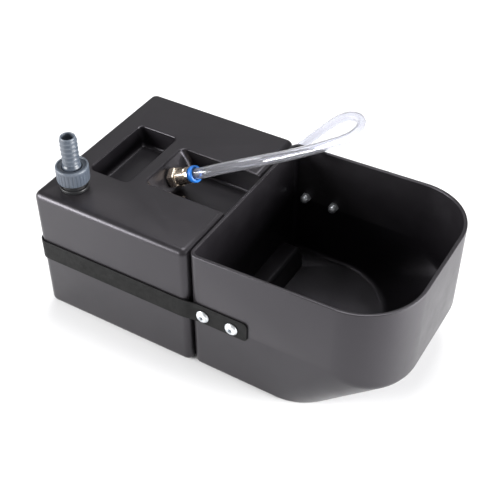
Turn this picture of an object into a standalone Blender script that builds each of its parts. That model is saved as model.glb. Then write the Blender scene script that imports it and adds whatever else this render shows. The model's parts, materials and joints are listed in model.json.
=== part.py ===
"""Livestock water trough: a float-valve tank and a round-fronted drinking bowl held together by one strap.

Frame: +X runs from the tank to the front of the bowl, +Y across, +Z up.  The origin is the middle of the
trough's length and width, on the ground.  Lengths are in metres.
"""
from math import cos, hypot, pi, radians, sin, tan

import bmesh
import bpy
from mathutils import Matrix, Vector

# ---------------------------------------------------------------- driving dimensions
LENGTH = 0.4111                     # from the strap's back to the front of the bowl
WALL = 0.004                        # wall of both mouldings
GAP = 0.0003                        # clearance between pieces that touch
STRAP_THICK = 0.0016
STRAP_WIDE = 0.0238

TANK_LENGTH = 0.1883
TANK_WIDTH = 0.220
TANK_HEIGHT = 0.1537
TANK_EDGE = 0.0073                  # edge rounding of the tank
REAR_X = -LENGTH / 2 + STRAP_THICK + GAP
TANK_FRONT_X = REAR_X + TANK_LENGTH

BOWL_REAR_X = TANK_FRONT_X + 0.0006
BOWL_FRONT_X = LENGTH / 2
BOWL_HALF_WIDTH = 0.1072
BOWL_CORNER = 0.064                 # plan radius of the two front corners
BOWL_REAR_CORNER = 0.0095
BOWL_FOOT_X = BOWL_FRONT_X - 0.0637  # where the flat bottom turns up into the sloping front
BOWL_FOOT_CORNER = 0.062
BOWL_BOTTOM_EDGE = 0.007
CREASE_LOW = 0.0565                 # height of the front wall's lower edge
CREASE_RISE = 4.5                   # how fast that edge climbs round the corners, per metre
RIM_REAR_Z = 0.1525
RIM_SLOPE = 0.029                   # the rim climbs a little towards the front
RIM_ROUND = 0.0011
INSIDE_FOOT_CORNER = 0.085          # the foot of the slope is rounder inside than outside
DISH_WIDTH = 0.026                  # raised strip along the foot of each side wall, inside
DISH_RISE = 0.005

LEDGE_HALF = 0.084                  # cross ledge at the back of the bowl, over a recess in its underside
LEDGE_HIGH = 0.0295
LEDGE_DEEP = 0.0252

STRAP_Z = {-1: 0.0795, 1: 0.0855}   # the strap's near leg runs a little lower than its far leg
SCREW_Z = {-1: 0.0778, 1: 0.0868}
SCREW_X = {-1: (REAR_X + 0.2052, REAR_X + 0.2386), 1: (REAR_X + 0.2090, REAR_X + 0.2438)}
STRAP_END_X = REAR_X + 0.2560

INLET_X = REAR_X + 0.0325
INLET_Y = -0.0800
THREAD_R = 0.0131                   # G 3/4 thread

NOTCH_REAR_X = REAR_X + 0.0900      # top edge of the notch's sloping end wall
NOTCH_NEAR_Y = -0.0370
NOTCH_FAR_Y = 0.0340
NOTCH_DEEP = 0.0272
FITTING_TILT = radians(30)          # the end wall leans back, so the fitting looks up at this angle
FITTING_AXIS = Vector((cos(FITTING_TILT), 0.0, sin(FITTING_TILT)))
FITTING_POINT = Vector((REAR_X + 0.0992, 0.0, 0.1380))
FITTING_FACE = 0.0363               # end face of the release collar along the axis

TUBE_R = 0.0060
COIL_TURN_R = 0.060                 # two turns, one on the other
COIL_HIGH = 0.0242
COIL_CENTRE = Vector((-0.1373, 0.1860, 0.0))
TUBE_ROUTE = (
    (-0.0608, 0.0015, 0.1625), (-0.0493, 0.0060, 0.1675), (-0.0388, 0.0115, 0.1712),
    (-0.0290, 0.0181, 0.1736), (-0.0203, 0.0263, 0.1745), (-0.0128, 0.0364, 0.1736),
    (-0.0063, 0.0483, 0.1712), (0.0000, 0.0615, 0.1682), (0.0062, 0.0755, 0.1652),
    (0.0123, 0.0895, 0.1624), (0.0189, 0.1030, 0.1605), (0.0262, 0.1150, 0.1603),
    (0.0335, 0.1270, 0.1602), (0.0387, 0.1410, 0.1598), (0.0397, 0.1570, 0.1592),
    (0.0347, 0.1720, 0.1578), (0.0247, 0.1825, 0.1545), (0.0117, 0.1880, 0.1480),
    (-0.0018, 0.1900, 0.1375), (-0.0143, 0.1902, 0.1245), (-0.0258, 0.1897, 0.1112),
    (-0.0373, 0.1890, 0.0975), (-0.0488, 0.1885, 0.0830), (-0.0600, 0.1850, 0.0685),
    (-0.0705, 0.1775, 0.0555), (-0.0800, 0.1670, 0.0450), (-0.0890, 0.1545, 0.0370),
)

LINK_Z = 0.0142                     # water way from the tank into the bowl
LINK_R = 0.0060

PIVOT_X = INLET_X - 0.0125
PIVOT_Z = 0.0940
FLOAT_X = INLET_X + 0.0975
FLOAT_R = 0.0230

COVER_X = REAR_X + 0.0940
COVER_R = 0.0620

FINE = 32
MEDIUM = 20
COARSE = 12


# ---------------------------------------------------------------- materials
def material(name, colour, roughness, metallic=0.0):
    found = bpy.data.materials.get(name)
    if found:
        return found
    mat = bpy.data.materials.new(name)
    mat.use_nodes = True
    shader = mat.node_tree.nodes["Principled BSDF"]
    shader.inputs["Base Color"].default_value = (*colour, 1.0)
    shader.inputs["Roughness"].default_value = roughness
    shader.inputs["Metallic"].default_value = metallic
    return mat


def charcoal(name):
    return material(name + "_charcoal", (0.035, 0.034, 0.036), 0.45)


def black_rubber(name):
    return material(name + "_rubber", (0.016, 0.016, 0.017), 0.75)


def black_plastic(name):
    return material(name + "_black", (0.020, 0.020, 0.022), 0.40)


def grey_pvc(name):
    return material(name + "_pvc", (0.17, 0.21, 0.26), 0.42)


def blue_acetal(name):
    return material(name + "_blue", (0.06, 0.30, 0.78), 0.32)


def nickel(name):
    return material(name + "_nickel", (0.72, 0.62, 0.52), 0.24, 1.0)


def zinc(name):
    return material(name + "_zinc", (0.78, 0.80, 0.82), 0.28, 1.0)


def brass(name):
    return material(name + "_brass", (0.72, 0.53, 0.25), 0.30, 1.0)


def clear_pvc(name):
    return material(name + "_clear", (0.86, 0.88, 0.92), 0.12)


def float_foam(name):
    return material(name + "_float", (0.75, 0.18, 0.08), 0.55)


# ---------------------------------------------------------------- mesh helpers
def finish_mesh(name, bm, mat, matrix=None, smooth=35):
    bmesh.ops.recalc_face_normals(bm, faces=bm.faces)
    mesh = bpy.data.meshes.new(name)
    bm.to_mesh(mesh)
    bm.free()
    obj = bpy.data.objects.new(name, mesh)
    bpy.context.scene.collection.objects.link(obj)
    if mat:
        mesh.materials.append(mat)
    if matrix:
        obj.matrix_world = matrix
    mesh.shade_smooth()
    mesh.set_sharp_from_angle(angle=radians(smooth))
    return obj


def loft(name, rings, mat, matrix=None, smooth=35, capped=True):
    """Closed body through rings of equal length; capped ends, or a last ring that meets the first."""
    bm = bmesh.new()
    rows = [[bm.verts.new(p) for p in ring] for ring in rings]
    pairs = list(zip(rows, rows[1:]))
    if not capped:
        pairs.append((rows[-1], rows[0]))
    count = len(rows[0])
    for low, high in pairs:
        for k in range(count):
            after = (k + 1) % count
            bm.faces.new((low[k], low[after], high[after], high[k]))
    if capped:
        bm.faces.new(rows[0][::-1])
        bm.faces.new(rows[-1])
    return finish_mesh(name, bm, mat, matrix, smooth)


def turned(name, profile, mat, matrix=None, segments=MEDIUM, smooth=35):
    """Solid of revolution about local Z from a profile of (radius, height); zero radii are poles."""
    bm = bmesh.new()
    rows = []
    for radius, height in profile:
        if radius == 0.0:
            rows.append([bm.verts.new((0.0, 0.0, height))])
            continue
        angles = [2 * pi * k / segments for k in range(segments)]
        rows.append([bm.verts.new((radius * cos(a), radius * sin(a), height)) for a in angles])
    pairs = list(zip(rows, rows[1:]))
    if len(rows[0]) > 1:
        pairs.append((rows[-1], rows[0]))
    for low, high in pairs:
        for k in range(segments):
            after = (k + 1) % segments
            corners = [low[k % len(low)], low[after % len(low)], high[after % len(high)], high[k % len(high)]]
            corners = list(dict.fromkeys(corners))
            if len(corners) > 2:
                bm.faces.new(corners)
    return finish_mesh(name, bm, mat, matrix, smooth)


def drills(name, profile, places, segments=COARSE):
    """One cutter made of the same turned shape at several places."""
    bm = bmesh.new()
    for place in places:
        rows = []
        for radius, height in profile:
            angles = [2 * pi * (k + 0.37) / segments for k in range(segments)]
            rows.append([bm.verts.new(place @ Vector((radius * cos(a), radius * sin(a), height))) for a in angles])
        for low, high in zip(rows, rows[1:]):
            for k in range(segments):
                after = (k + 1) % segments
                bm.faces.new((low[k], low[after], high[after], high[k]))
        bm.faces.new(rows[0][::-1])
        bm.faces.new(rows[-1])
    return finish_mesh(name, bm, None)


def cylinder(radius, low, high):
    return [(0.0, low), (radius, low), (radius, high), (0.0, high)]


def tube_profile(inner, outer, low, high):
    return [(inner, low), (outer, low), (outer, high), (inner, high)]


def hex_nut(name, bore, corners, low, high, mat, matrix):
    """Hexagon nut with a round bore and slightly broken corners."""
    chamfer = min(0.0005, (high - low) / 4)
    rings = []
    for radius, height, straight in ((bore, low, False), (corners - chamfer, low, True), (corners, low + chamfer, True),
                                     (corners, high - chamfer, True), (corners - chamfer, high, True),
                                     (bore, high, False)):
        ring = []
        for k in range(12):
            a = radians(30 * k)
            r = radius * (cos(radians(30)) if straight and k % 2 else 1.0)
            ring.append((r * cos(a), r * sin(a), height))
        rings.append(ring)
    return loft(name, rings, mat, matrix, 28, capped=False)


def along(point, axis):
    """Matrix that puts local Z on an axis through a point."""
    turn = Vector((0, 0, 1)).rotation_difference(Vector(axis)).to_matrix().to_4x4()
    return Matrix.Translation(point) @ turn


def box(name, low, high, mat):
    x0, y0, z0 = low
    x1, y1, z1 = high
    rings = [[(x0, y0, z), (x1, y0, z), (x1, y1, z), (x0, y1, z)] for z in (z0, z1)]
    return loft(name, rings, mat)


def guide(obj):
    """A shape that only cuts or adds to another piece."""
    obj.hide_render = True
    obj.display_type = "WIRE"
    return obj


def boolean(obj, other, operation):
    step = obj.modifiers.new(operation.lower() + "_" + other.name, "BOOLEAN")
    step.object = guide(other)
    step.operation = operation
    step.solver = "EXACT"


def arc_corner(cx, cy, radius, start, steps):
    angles = [radians(start + 90 * k / steps) for k in range(steps + 1)]
    return [(cx + radius * cos(a), cy + radius * sin(a), a) for a in angles]


def outline(rear, front, low_y, high_y, front_radius, rear_radius, front_steps, rear_steps):
    """Rounded rectangle, anticlockwise, as (x, y, direction of the outward normal)."""
    points = arc_corner(front - front_radius, high_y - front_radius, front_radius, 0, front_steps)
    points += arc_corner(rear + rear_radius, high_y - rear_radius, rear_radius, 90, rear_steps)
    points += arc_corner(rear + rear_radius, low_y + rear_radius, rear_radius, 180, rear_steps)
    points += arc_corner(front - front_radius, low_y + front_radius, front_radius, 270, front_steps)
    return points


def rounded_box_rings(rear, front, low_y, high_y, low, high, edge, corner, steps=3, bottom_edge=None):
    """Rings of a box with rounded upright corners and rounded top and bottom edges."""
    bottom_edge = edge if bottom_edge is None else bottom_edge
    rings = []
    for k in range(steps + 1):
        a = radians(90 * k / steps)
        inset = bottom_edge * (1 - sin(a))
        rings.append((inset, low + bottom_edge * (1 - cos(a))))
    for k in range(steps + 1):
        a = radians(90 * k / steps)
        inset = edge * (1 - cos(a))
        rings.append((inset, high - edge * (1 - sin(a))))
    out = []
    for inset, z in rings:
        radius = max(corner - inset, 0.0008)
        flat = outline(rear + inset, front - inset, low_y + inset, high_y - inset, radius, radius, 4, 4)
        out.append([(x, y, z) for x, y, _ in flat])
    return out


# ---------------------------------------------------------------- tank
def tank_shell():
    half = TANK_WIDTH / 2
    outer = rounded_box_rings(REAR_X, TANK_FRONT_X, -half, half, 0.0, TANK_HEIGHT, TANK_EDGE, 0.0085)
    shell = loft("tank_shell", outer, charcoal("tank_shell"), smooth=40)
    inner = rounded_box_rings(
        REAR_X + WALL, TANK_FRONT_X - WALL, -half + WALL, half - WALL, WALL, TANK_HEIGHT - WALL, 0.003, 0.0045, 1,
        0.0006)
    boolean(shell, loft("cavity", inner, None), "DIFFERENCE")
    boss = turned("cover_boss", cylinder(COVER_R + 0.006, 0.003, 0.0100), None,
                  Matrix.Translation((COVER_X, 0, 0)) @ Matrix.Rotation(pi / FINE, 4, "Z"), FINE)
    boolean(shell, boss, "UNION")
    boolean(shell, tub("pocket_tub", pocket_levels(WALL), 0.009), "UNION")
    boolean(shell, notch_solid("notch_tub", WALL, TANK_FRONT_X - 0.002, TANK_HEIGHT - 0.002), "UNION")
    boolean(shell, tub("pocket", pocket_levels(0.0), 0.006), "DIFFERENCE")
    boolean(shell, notch_solid("notch", 0.0, TANK_FRONT_X + 0.010, TANK_HEIGHT + 0.002), "DIFFERENCE")
    mouth = [(0.0, -0.002), (COVER_R + GAP, -0.002), (COVER_R + GAP, 0.0045), (COVER_R - 0.012, 0.0045),
             (COVER_R - 0.012, 0.013), (0.0, 0.013)]
    boolean(shell, turned("cover_mouth", mouth, None, Matrix.Translation((COVER_X, 0, 0)), FINE), "DIFFERENCE")
    boolean(shell, turned("inlet_hole", cylinder(THREAD_R + GAP, 0.140, 0.160), None,
                          Matrix.Translation((INLET_X, INLET_Y, 0)), MEDIUM), "DIFFERENCE")
    boolean(shell, turned("fitting_hole", cylinder(0.0085, -0.009, 0.006), None,
                          along(FITTING_POINT, FITTING_AXIS), MEDIUM), "DIFFERENCE")
    boolean(shell, turned("link_hole", cylinder(LINK_R + GAP, -0.008, 0.004), None,
                          along((TANK_FRONT_X, 0, LINK_Z), (1, 0, 0)), MEDIUM), "DIFFERENCE")
    pilots = drills("screw_pilots", [(0.0021, 0.002), (0.0021, 0.0094)], cover_screw_places(), 8)
    boolean(shell, pilots, "DIFFERENCE")


def pocket_levels(grow):
    """(inset, height) steps down the grip pocket's wall, or down its tub when grown by a wall."""
    bottom = TANK_HEIGHT - 0.0245
    if grow:
        return [(-grow, TANK_HEIGHT - 0.002), (0.0015 - grow, bottom - grow + 0.004), (0.005 - grow, bottom - grow)]
    return [(-0.0022, TANK_HEIGHT + 0.001), (-0.0010, TANK_HEIGHT - 0.0006), (0.0, TANK_HEIGHT - 0.0022),
            (0.0018, bottom + 0.0052), (0.0034, bottom + 0.0016), (0.0070, bottom)]


def tub(name, levels, corner):
    rings = []
    for inset, z in levels:
        radius = max(corner - inset, 0.001)
        flat = outline(REAR_X + 0.0262 + inset, REAR_X + 0.0755 - inset, -0.0470 + inset, 0.0462 - inset,
                       radius, radius, 4, 4)
        rings.append([(x, y, z) for x, y, _ in flat])
    return loft(name, rings, None)


def notch_solid(name, grow, front, top):
    """The notch, or with grow its tub: a sloping end wall, a floor, and an open front end."""
    lean = tan(FITTING_TILT)
    floor = TANK_HEIGHT - NOTCH_DEEP - grow
    rear = NOTCH_REAR_X - grow / cos(FITTING_TILT)
    if grow:
        levels = [(0.0, top), (0.0, floor + 0.004), (0.004, floor)]
    else:
        levels = [(-0.0016, top), (-0.0008, TANK_HEIGHT - 0.0004), (0.0, TANK_HEIGHT - 0.0020),
                  (0.0, floor + 0.0026), (0.0008, floor + 0.0007), (0.0026, floor)]
    rings = []
    for inset, z in levels:
        edge = rear + lean * (TANK_HEIGHT - z) + inset
        flat = outline(edge, front, NOTCH_NEAR_Y - grow + inset, NOTCH_FAR_Y + grow - inset,
                       0.0005, 0.0065 + grow, 1, 4)
        rings.append([(x, y, z) for x, y, _ in flat])
    return loft(name, rings, None)


def cover_screw_places():
    ring = COVER_R - 0.0055
    turns = [radians(45 + 90 * k) for k in range(4)]
    return [Matrix.Translation((COVER_X + ring * cos(a), ring * sin(a), 0)) for a in turns]


def base_cover():
    spot = Matrix.Translation((COVER_X, 0, 0))
    cover = turned("base_cover", [(0.0, 0.0004), (COVER_R - 0.001, 0.0004), (COVER_R, 0.0012), (COVER_R, 0.0030),
                                  (0.0, 0.0030)], charcoal("base_cover"), spot, FINE)
    hole = [(0.0046, -0.001), (0.0046, 0.0006), (0.0024, 0.0026), (0.0024, 0.0040)]
    boolean(cover, drills("cover_holes", hole, cover_screw_places()), "DIFFERENCE")
    turned("base_gasket", tube_profile(COVER_R - 0.0112, COVER_R - 0.0086, 0.0033, 0.0042),
           black_rubber("base_gasket"), spot, FINE)
    for number, place in enumerate(cover_screw_places()):
        turned(f"base_screw_{number + 1}", [(0.0, 0.0004), (0.0040, 0.0004), (0.0017, 0.0024), (0.0017, 0.0090),
                                            (0.0, 0.0090)], zinc("base_screw"), place, COARSE)


# ---------------------------------------------------------------- bowl
def rim_height(x):
    return RIM_REAR_Z + RIM_SLOPE * (x - BOWL_REAR_X)


def crease_height(x):
    """Lower edge of the upright wall: level across the front, climbing and fading round the corners."""
    run = min(BOWL_FRONT_X - x, BOWL_CORNER)
    return CREASE_LOW + CREASE_RISE * run * run


def upper_outline(inset):
    half = BOWL_HALF_WIDTH - inset
    rear_radius = max(BOWL_REAR_CORNER - inset, 0.0015)
    return outline(BOWL_REAR_X + inset, BOWL_FRONT_X - inset, -half, half,
                   BOWL_CORNER - inset, rear_radius, 12, 3)


def lower_outline(inset, front_inset, corner):
    half = BOWL_HALF_WIDTH - inset
    rear_radius = max(BOWL_REAR_CORNER - inset, 0.0015)
    return outline(BOWL_REAR_X + inset, BOWL_FOOT_X - front_inset, -half, half, corner, rear_radius, 12, 3)


def bottom_edge_points(foot, crease, normal, steps=3):
    """Rounded edge between the flat bottom and the wall that rises from foot to crease."""
    inward = Vector((-cos(normal), -sin(normal), 0))
    rise = (crease - foot).normalized()
    angle = inward.angle(rise)
    reach = BOWL_BOTTOM_EDGE / tan(angle / 2)
    centre = foot + (inward + rise).normalized() * (BOWL_BOTTOM_EDGE / sin(angle / 2))
    first = (foot + inward * reach - centre).normalized()
    last = (foot + rise * reach - centre).normalized()
    return [centre + first.slerp(last, k / steps) * BOWL_BOTTOM_EDGE for k in range(steps + 1)]


def bowl_rings():
    top = upper_outline(0.0)
    foot = lower_outline(0.0, 0.0, BOWL_FOOT_CORNER)
    edges = []
    for (tx, ty, normal), (fx, fy, _) in zip(top, foot):
        crease = Vector((tx, ty, crease_height(tx)))
        edges.append(bottom_edge_points(Vector((fx, fy, 0)), crease, normal) + [crease])
    rings = [list(ring) for ring in zip(*edges)]
    rings.append([(x, y, rim_height(x) - RIM_ROUND) for x, y, _ in top])
    rings.append([(x, y, rim_height(x)) for x, y, _ in upper_outline(RIM_ROUND)])
    rings.append([(x, y, rim_height(x)) for x, y, _ in upper_outline(WALL - RIM_ROUND)])
    inside = upper_outline(WALL)
    rings.append([(x, y, rim_height(x) - RIM_ROUND) for x, y, _ in inside])
    rings.append([(x, y, crease_height(x) + 0.0018) for x, y, _ in inside])
    inner_foot = lower_outline(WALL, 0.0016, INSIDE_FOOT_CORNER)
    rings.append([(x, y, WALL + DISH_RISE * sin(a) ** 2) for x, y, a in inner_foot])
    floor = lower_outline(WALL + DISH_WIDTH, 0.0080, 0.062)
    floor = [(max(x, BOWL_REAR_X + WALL + 0.003), y) for x, y, _ in floor]
    rings.append([(x, y, WALL) for x, y in floor])
    return rings


def bowl_shell():
    bowl = loft("bowl_shell", bowl_rings(), charcoal("bowl_shell"), smooth=40)
    boolean(bowl, ledge_block(), "UNION")
    recess = box("ledge_recess", (BOWL_REAR_X - 0.005, -LEDGE_HALF + 0.004, -0.005),
                 (BOWL_REAR_X + LEDGE_DEEP - WALL, LEDGE_HALF - 0.004, LEDGE_HIGH - WALL), None)
    boolean(bowl, recess, "DIFFERENCE")
    boolean(bowl, turned("grommet_hole", cylinder(0.0083, 0.015, 0.045), None,
                         along((BOWL_REAR_X, 0, LINK_Z), (1, 0, 0)), MEDIUM), "DIFFERENCE")
    boolean(bowl, strap_drills("bowl_screw_holes"), "DIFFERENCE")


def ledge_block():
    """The cross ledge: flat top, rounded front edge, front face that leans out towards its foot."""
    rear = BOWL_REAR_X + 0.002
    front = BOWL_REAR_X + LEDGE_DEEP
    side = [(rear, 0.002), (front + 0.0050, 0.002), (front + 0.0045, 0.006), (front + 0.0010, LEDGE_HIGH - 0.004),
            (front - 0.0008, LEDGE_HIGH - 0.001), (front - 0.0035, LEDGE_HIGH), (rear, LEDGE_HIGH)]
    spans = [(-LEDGE_HALF, 0.010), (-LEDGE_HALF + 0.004, 0.0), (LEDGE_HALF - 0.004, 0.0), (LEDGE_HALF, 0.010)]
    rings = []
    for y, drop in spans:
        rings.append([(x - (drop * 0.3 if x > rear else 0.0), y, min(z, LEDGE_HIGH - drop)) for x, z in side])
    rings = [[(x, y, z + 0.0001 * k) for k, (x, y, z) in enumerate(ring)] for ring in rings]
    return loft("ledge", rings, None)


# ---------------------------------------------------------------- strap and its fasteners
def strap_route():
    """Plan centre line of the strap from the near end, round the tank's back, to the far end."""
    half_thick = STRAP_THICK / 2
    on_bowl = -(BOWL_HALF_WIDTH + GAP + half_thick)
    on_tank = -(TANK_WIDTH / 2 + GAP + half_thick)
    back = REAR_X - GAP - half_thick
    bend = 0.0095
    near = [(STRAP_END_X, on_bowl), (STRAP_END_X - 0.0015, on_bowl), (STRAP_END_X - 0.0045, on_bowl),
            (TANK_FRONT_X + 0.012, on_bowl), (TANK_FRONT_X + 0.004, on_bowl - 0.0006),
            (TANK_FRONT_X - 0.004, on_tank + 0.0005), (TANK_FRONT_X - 0.012, on_tank)]
    for k in range(6):
        a = radians(18 * k)
        near.append((back + bend * (1 - sin(a)), on_tank + bend * (1 - cos(a))))
    across = [(back, on_tank * k / 3) for k in (2, 1, 0, -1, -2)]
    return near + across + [(x, -y) for x, y in reversed(near)]


def strap_height(y):
    """Middle of the strap: one height on each side, changing evenly across the tank's back."""
    share = min(1.0, max(0.0, y / (TANK_WIDTH - 0.020) + 0.5))
    return STRAP_Z[-1] * (1 - share) + STRAP_Z[1] * share


def strap_half_height(x):
    """Half the strap's width: full, but for the rounded corners at its two ends."""
    corner = 0.0045
    reach = max(0.0, corner - (STRAP_END_X - x))
    return STRAP_WIDE / 2 - corner + (corner ** 2 - reach ** 2) ** 0.5


def strap():
    route = strap_route()
    rings = []
    for k, (x, y) in enumerate(route):
        ahead = route[min(k + 1, len(route) - 1)]
        behind = route[max(k - 1, 0)]
        run = hypot(ahead[0] - behind[0], ahead[1] - behind[1])
        side = ((ahead[1] - behind[1]) / run * STRAP_THICK / 2, (behind[0] - ahead[0]) / run * STRAP_THICK / 2)
        half = strap_half_height(x)
        ring = [(1, -1), (1, 1), (-1, 1), (-1, -1)]
        middle = strap_height(y)
        rings.append([(x + s * side[0], y + s * side[1], middle + h * half) for s, h in ring])
    band = loft("strap", rings, black_rubber("strap"), smooth=30)
    boolean(band, strap_drills("strap_holes"), "DIFFERENCE")


def strap_drills(name):
    places = [along((x, 0, SCREW_Z[side]), (0, side, 0)) for side in (-1, 1) for x in SCREW_X[side]]
    return drills(name, [(0.0034, 0.095), (0.0034, 0.118)], places)


def strap_fasteners():
    """Truss-head screw outside and dome nut inside at each of the four holes."""
    outside = BOWL_HALF_WIDTH + 2 * GAP + STRAP_THICK
    head = [(0.0, -0.0145), (0.0030, -0.0145), (0.0030, 0.0), (0.0072, 0.0), (0.0072, 0.0006), (0.0062, 0.0020),
            (0.0044, 0.0030), (0.0024, 0.0034), (0.0022, 0.0014), (0.0, 0.0014)]
    nut = [(0.0034, 0.0), (0.0057, 0.0), (0.0057, 0.0042), (0.0047, 0.0050), (0.0040, 0.0078), (0.0022, 0.0096),
           (0.0, 0.0101), (0.0, 0.0088), (0.0034, 0.0082)]
    for side, word in ((-1, "near"), (1, "far")):
        for number, x in enumerate(SCREW_X[side]):
            name = f"{word}_{number + 1}"
            turned("strap_screw_" + name, head, zinc("strap_screw"),
                   along((x, side * outside, SCREW_Z[side]), (0, side, 0)), MEDIUM)
            inner = side * (BOWL_HALF_WIDTH - WALL - GAP)
            turned("dome_nut_" + name, nut, zinc("dome_nut"),
                   along((x, inner, SCREW_Z[side]), (0, -side, 0)), COARSE)


# ---------------------------------------------------------------- water inlet
def at_inlet(z=0.0):
    return Matrix.Translation((INLET_X, INLET_Y, z))


def inlet():
    top = TANK_HEIGHT
    under = TANK_HEIGHT - WALL
    gasket_low = under - GAP - 0.0012
    turned("inlet_gasket", tube_profile(THREAD_R + GAP, 0.0180, gasket_low, under - GAP),
           black_rubber("inlet_gasket"), at_inlet(), MEDIUM)
    flange_top = gasket_low - GAP
    seat = top - 0.0340
    profile = [(0.0070, 0.1720), (0.0070, seat + 0.0040), (0.0025, seat + 0.0040), (0.0025, seat), (0.0053, seat),
               (0.0053, seat - 0.0160), (0.0100, seat - 0.0160), (0.0110, flange_top - 0.0030),
               (0.0180, flange_top - 0.0030), (0.0180, flange_top), (THREAD_R, flange_top), (THREAD_R, 0.1712),
               (THREAD_R - 0.0008, 0.1720)]
    body = turned("valve_body", profile, black_plastic("valve_body"), at_inlet(), MEDIUM)
    for number, side in enumerate((-1, 1)):
        y = INLET_Y + side * 0.0100
        boolean(body, box(f"cheek_{number}", (PIVOT_X - 0.0060, y - 0.0016, PIVOT_Z - 0.0060),
                          (INLET_X + 0.0040, y + 0.0016, seat + 0.0020), None), "UNION")
    boolean(body, turned("pin_hole", cylinder(0.0023, -0.015, 0.015), None,
                         along((PIVOT_X, INLET_Y, PIVOT_Z), (0, 1, 0)), COARSE), "DIFFERENCE")
    turned("inlet_ring_nut", [(THREAD_R + GAP, top + GAP), (0.0148, top + GAP), (0.0148, top + 0.0034),
                              (0.0142, top + 0.0042), (THREAD_R + GAP, top + 0.0042)],
           black_plastic("inlet_ring_nut"), at_inlet(), FINE)
    turned("tail_washer", tube_profile(0.0068, 0.0122, 0.1723, 0.1737),
           black_rubber("tail_washer"), at_inlet(), MEDIUM)
    hose_tail()
    union_nut()


def hose_tail():
    """Barbed tail with a flange that the union nut pulls down on to its washer."""
    first_barb = 0.1855
    pitch = 0.0052
    profile = [(0.0064, 0.1740), (0.0123, 0.1740), (0.0123, 0.1772), (0.0098, 0.1772), (0.0098, 0.1822),
               (0.0083, 0.1836)]
    for k in range(6):
        low = first_barb + k * pitch
        profile += [(0.0083, low), (0.0089, low + 0.0006), (0.0084, low + pitch - 0.0006)]
    profile += [(0.0078, 0.2172), (0.0068, 0.2172), (0.0064, 0.2166)]
    turned("hose_tail", profile, grey_pvc("hose_tail"), at_inlet(), MEDIUM)


def union_nut():
    """Round grip nut: threaded skirt, inner collar over the tail's flange, dished top."""
    ribs = 24
    inner = THREAD_R + GAP
    profile = [(inner, 0.1640, 0), (0.0163, 0.1640, 0), (0.0169, 0.1648, 1), (0.0171, 0.1795, 1),
               (0.0170, 0.1812, 0), (0.0164, 0.1820, 0), (0.0140, 0.1820, 0), (0.0126, 0.1806, 0),
               (0.0106, 0.1804, 0), (0.0103, 0.1776, 0), (inner, 0.1776, 0)]
    rings = []
    for radius, z, ribbed in profile:
        ring = []
        for k in range(2 * ribs):
            a = pi * k / ribs
            r = radius - (0.0006 if ribbed and k % 2 else 0.0)
            ring.append((r * cos(a), r * sin(a), z))
        rings.append(ring)
    loft("union_nut", rings, grey_pvc("union_nut"), at_inlet(), 28, capped=False)


# ---------------------------------------------------------------- float valve inside the tank
def float_valve():
    seat = TANK_HEIGHT - 0.0340
    lever_top = PIVOT_Z + 0.0030
    plunger_top = seat - GAP - 0.0022 - GAP
    turned("valve_seal", cylinder(0.0045, seat - GAP - 0.0022, seat - GAP), black_rubber("valve_seal"),
           at_inlet(), COARSE)
    turned("valve_plunger", [(0.0, lever_top + GAP), (0.0006, lever_top + GAP), (0.0047, lever_top + 0.0032),
                             (0.0047, plunger_top), (0.0, plunger_top)],
           brass("valve_plunger"), at_inlet(), COARSE)
    turned("pivot_pin", cylinder(0.0020, -0.0135, 0.0135), zinc("pivot_pin"),
           along((PIVOT_X, INLET_Y, PIVOT_Z), (0, 1, 0)), COARSE)
    lever = box("float_lever", (PIVOT_X - 0.0050, INLET_Y - 0.0040, PIVOT_Z - 0.0040),
                (FLOAT_X - 0.0330, INLET_Y + 0.0040, lever_top), brass("float_lever"))
    lever.data.transform(Matrix.Translation((-PIVOT_X, -INLET_Y, -PIVOT_Z)))
    lever.location = (PIVOT_X, INLET_Y, PIVOT_Z)
    boolean(lever, turned("lever_eye", cylinder(0.0023, -0.010, 0.010), None,
                          along((PIVOT_X, INLET_Y, PIVOT_Z), (0, 1, 0)), COARSE), "DIFFERENCE")
    boolean(lever, turned("lever_stud", cylinder(0.0022, -0.010, 0.008), None,
                          along((FLOAT_X - 0.0330, INLET_Y, PIVOT_Z - 0.0005), (1, 0, 0)), 8), "UNION")
    inner = 0.0026
    turned("float", [(inner, -0.0300), (0.0170, -0.0300), (FLOAT_R, -0.0230), (FLOAT_R, 0.0230), (0.0170, 0.0300),
                     (0.0, 0.0300), (0.0, -0.0230), (inner, -0.0230)], float_foam("float"),
           along((FLOAT_X, INLET_Y, PIVOT_Z - 0.0005), (1, 0, 0)), MEDIUM)
    hex_nut("float_nut", 0.0026, 0.0048, 0.0, 0.0026, brass("float_nut"),
            along((FLOAT_X - 0.0328, INLET_Y, PIVOT_Z - 0.0005), (1, 0, 0)))


# ---------------------------------------------------------------- push-in fitting in the notch
def on_fitting(step=0.0):
    return along(FITTING_POINT + FITTING_AXIS * step, FITTING_AXIS)


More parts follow.
